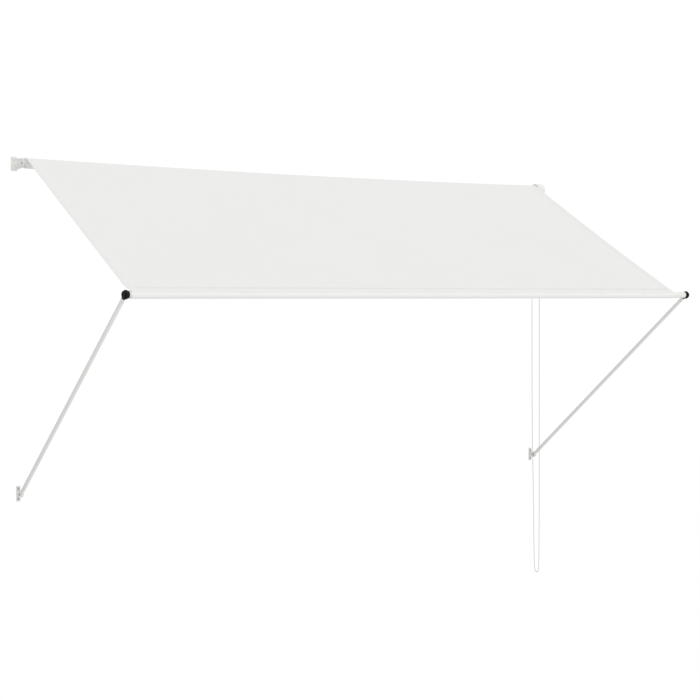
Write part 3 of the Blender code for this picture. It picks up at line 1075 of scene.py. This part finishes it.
class AWNING_OT_roll(bpy.types.Operator):
    """Winds the turns of cloth left on the roller, over its tube"""

    bl_idname = "awning.roll"
    bl_label = "Wound cloth"
    TUBE_WALL = 0.0012
    TURNS = 5
    GAP = 0.0002  # between the tube and the cloth on it
    PLAIN = 0.030  # a lathed piece is plain from this far in from its ends

    def execute(self, context):
        tube = radius_of("roller_tube")
        self.lathe("wound_turns", self.turns(tube + self.GAP), "awning_cloth", "wound_cloth")
        wall = [(0, tube - self.TUBE_WALL), (0, tube - 0.0002), (0.0003, tube)]
        self.lathe("bowed_roller_tube", wall, "zinc_plated_steel", "roller_tube")
        return {"FINISHED"}

    def turns(self, core):
        """One end's outline over the layers' edges: (inset, radius) from the core outwards."""
        layer = (ROLL_RADIUS - core) / self.TURNS
        outline = []
        for i in range(self.TURNS):
            inset = 0.0006 + 0.0005 * math.sin(i * 2.4)
            base = core + layer * i
            outline += [(inset + 0.0006, base), (inset, base + layer * 0.35)]
            outline += [(inset, base + layer * 0.7)]
        return outline + [(0.0016, ROLL_RADIUS), (self.PLAIN, ROLL_RADIUS - 0.0003)]

    def lathe(self, name, outline, finish, node):
        """Turns an end outline, mirrored at the other end, about the sagging roller's axis."""
        low, high = CLOTH_LEFT, CLOTH_RIGHT
        plain = CLOTH_WIDTH - 2 * self.PLAIN
        spans = [low + self.PLAIN + plain * i / 60 for i in range(1, 60)]
        top = outline[-1][1]
        profile = [(low + x, r) for x, r in outline]
        profile += [(x, top) for x in spans]
        profile += [(high - x, r) for x, r in reversed(outline)]
        bore = outline[0][1]
        profile += [(x, bore) for x in reversed(spans)]
        steps = 56
        loops = []
        maps = []
        for i in range(steps):
            angle = math.tau * i / steps
            loop = []
            pairs = []
            for x, radius in profile:
                y = ROLL.y + radius * math.cos(angle)
                z = ROLL.z + radius * math.sin(angle) - roller_drop(x)
                loop.append(Vector((x, y, z)))
                pairs.append((x, angle * radius))
            loops.append(loop)
            maps.append(pairs)
        piece = add_object(name, sheet_mesh(name, loops, maps, closed=True))
        finished(piece, finish, "roller", node, smooth=50)


class AWNING_OT_stitching(bpy.types.Operator):
    """Sews the hems and the pocket, above and below the cloth"""

    bl_idname = "awning.stitching"
    bl_label = "Stitching"
    WIDTH = 0.00055
    THREAD = 0.00014  # between the stitches

    def execute(self, context):
        cloth = settings().cloth
        seam = REACH - cloth.pocket_hem + 0.004
        top = cloth.thickness * 2 + THIN
        paths = []
        for lift in (top, 0.0):
            for inset, stop in ((cloth.hem_width - 0.003, seam - 0.004), (0.004, seam - 0.008)):
                paths += [self.hem_row(x, stop, lift) for x in (inset, CLOTH_WIDTH - inset)]
            paths += [self.seam_row(down, lift) for down in (seam, seam + 0.006)]
        piece = strung(
            "hem_stitches",
            paths,
            "sewing_thread",
            Spacing=cloth.stitch_length,
            Width=self.WIDTH,
            Length=cloth.stitch_length * 0.74,
            String=self.THREAD / 2,
            Segments=5,
            Rings=4,
        )
        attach(piece, "wall_mounts")
        squash_with_arms(piece)
        return {"FINISHED"}

    def hem_row(self, x, stop, lift):
        """A row down the cloth from just below the roller, at x from the left edge."""
        start = 0.012
        downs = [start + (stop - start) * i / 80 for i in range(81)]
        return [cloth_point(CLOTH_LEFT + bowed(x, down), down, lift) for down in downs]

    def seam_row(self, down, lift):
        """A row across the cloth, from the cut corner to the right edge."""
        inset = 0.003
        cloth = settings().cloth
        cut = (down - (REACH - cloth.corner_cut)) / cloth.corner_cut
        first = CLOTH_LEFT + max(0.0, (POCKET_LEFT - CLOTH_LEFT) * cut) + inset
        xs = [first + (CLOTH_RIGHT - inset - first) * i / 240 for i in range(241)]
        return [cloth_point(x, down, lift) for x in xs]


class AWNING_OT_hard_pieces(bpy.types.Operator):
    """Rounds the edges of brackets, arms, knuckles and drive, and gives them their finishes"""

    bl_idname = "awning.hard_pieces"
    bl_label = "Frame and drive"
    SAME_PLACE = 2e-6
    FLAT = math.radians(0.6)
    SHARP = math.radians(38)

    def execute(self, context):
        for finish, nodes in (
            ("cream_powder_coat", COATED),
            ("black_moulding", BLACK_PLASTIC),
            ("white_moulding", WHITE_PLASTIC),
            ("zinc_plated_steel", PLATED_STEEL),
        ):
            for node in nodes:
                self.refine(node, finish)
        return {"FINISHED"}

    def refine(self, node, finish):
        """A copy of a CAD node with its triangles merged and its sharp edges rounded."""
        source = frame["nodes"][node]
        bm = bmesh.new()
        bm.from_mesh(source.data)
        bmesh.ops.remove_doubles(bm, verts=bm.verts, dist=self.SAME_PLACE)
        bmesh.ops.dissolve_limit(bm, angle_limit=self.FLAT, verts=bm.verts, edges=bm.edges)
        mesh = bpy.data.meshes.new(f"{node}_finished")
        bm.to_mesh(mesh)
        bm.free()
        piece = add_object(f"{node}_finished", mesh)
        bevel = piece.modifiers.new("edges", "BEVEL")
        bevel.width = settings().finish.edge * (0.5 if "screw" in node else 1.0)
        bevel.segments = 2
        bevel.limit_method = "ANGLE"
        bevel.angle_limit = self.SHARP
        bevel.use_clamp_overlap = True
        applied(piece)
        finished(piece, finish, body_of(source)[0], node, smooth=40)


class AWNING_OT_studio(bpy.types.Operator):
    """Sets a white floor, a white studio and a soft light from above in front"""

    bl_idname = "awning.studio"
    bl_label = "Studio"

    def execute(self, context):
        stage = settings().stage
        floor = Finish("studio_floor", (0.10, 0.10, 0.10), 0.9, Specular_IOR_Level=0.0)
        floor.shader.inputs["Emission Color"].default_value = (1, 1, 1, 1)
        floor.shader.inputs["Emission Strength"].default_value = stage.floor_glow
        bm = bmesh.new()
        bmesh.ops.create_circle(bm, cap_ends=True, radius=14, segments=64)
        bmesh.ops.translate(bm, verts=bm.verts, vec=(1.2, -0.5, stage.floor_height))
        mesh = bpy.data.meshes.new("floor")
        bm.to_mesh(mesh)
        bm.free()
        ground = add_object("floor", mesh)
        mesh.materials.append(floor.material)
        ground.visible_diffuse = False
        ground.visible_glossy = False
        context.scene.world = self.sky(stage)
        lamp = bpy.data.lights.new("key_light", "SUN")
        lamp.energy = stage.key
        lamp.angle = stage.key_spread
        key = add_object("key_light", lamp)
        key.rotation_euler = Vector(stage.key_from).to_track_quat("Z", "Y").to_euler()
        context.scene.view_settings.view_transform = "Standard"
        return {"FINISHED"}

    def sky(self, stage):
        """A white surround, brightest from above, in front and the right."""
        world = bpy.data.worlds.new("white_studio")
        world.use_nodes = True
        nodes = world.node_tree.nodes
        links = world.node_tree.links
        plain = nodes["Background"]
        plain.inputs["Color"].default_value = (1, 1, 1, 1)
        plain.inputs["Strength"].default_value = stage.backdrop
        light = nodes.new("ShaderNodeBackground")
        where = nodes.new("ShaderNodeTexCoord")
        lean = nodes.new("ShaderNodeVectorMath")
        lean.operation = "DOT_PRODUCT"
        lean.inputs[1].default_value = stage.sky_lean
        total = nodes.new("ShaderNodeMath")
        total.inputs[1].default_value = stage.sky
        path = nodes.new("ShaderNodeLightPath")
        both = nodes.new("ShaderNodeMixShader")
        links.new(where.outputs["Generated"], lean.inputs[0])
        links.new(lean.outputs["Value"], total.inputs[0])
        links.new(total.outputs[0], light.inputs["Strength"])
        links.new(path.outputs["Is Camera Ray"], both.inputs[0])
        links.new(light.outputs[0], both.inputs[1])
        links.new(plain.outputs[0], both.inputs[2])
        links.new(both.outputs[0], nodes["World Output"].inputs[0])
        return world


class AWNING_PT_panel(bpy.types.Panel):
    """Lists what the awning's finished look is made of"""

    bl_idname = "AWNING_PT_panel"
    bl_label = "Awning"
    bl_space_type = "VIEW_3D"
    bl_region_type = "UI"
    bl_category = "Awning"

    def draw(self, context):
        for step in STEPS:
            self.layout.operator(step.bl_idname)
        for group in ("cloth", "chain", "finish", "stage"):
            box = self.layout.box()
            values = getattr(settings(), group)
            for name in values.bl_rna.properties.keys():
                if name not in {"rna_type", "name"}:
                    box.prop(values, name)


STEPS = [
    AWNING_OT_camera,
    AWNING_OT_chain,
    AWNING_OT_hard_pieces,
    AWNING_OT_roll,
    AWNING_OT_pocket,
    AWNING_OT_canopy,
    AWNING_OT_stitching,
    AWNING_OT_studio,
]
CLASSES = [
    AwningClothSettings,
    AwningChainSettings,
    AwningFinishSettings,
    AwningStageSettings,
    AwningSettings,
    *STEPS,
    AWNING_PT_panel,
]


def register():
    for item in CLASSES:
        bpy.utils.register_class(item)
    bpy.types.Scene.awning = PointerProperty(type=AwningSettings)


def unregister():
    del bpy.types.Scene.awning
    for item in reversed(CLASSES):
        bpy.utils.unregister_class(item)


def main():
    register()
    for step in STEPS:
        group, name = step.bl_idname.split(".")
        getattr(getattr(bpy.ops, group), name)()


if __name__ == "__main__":
    main()
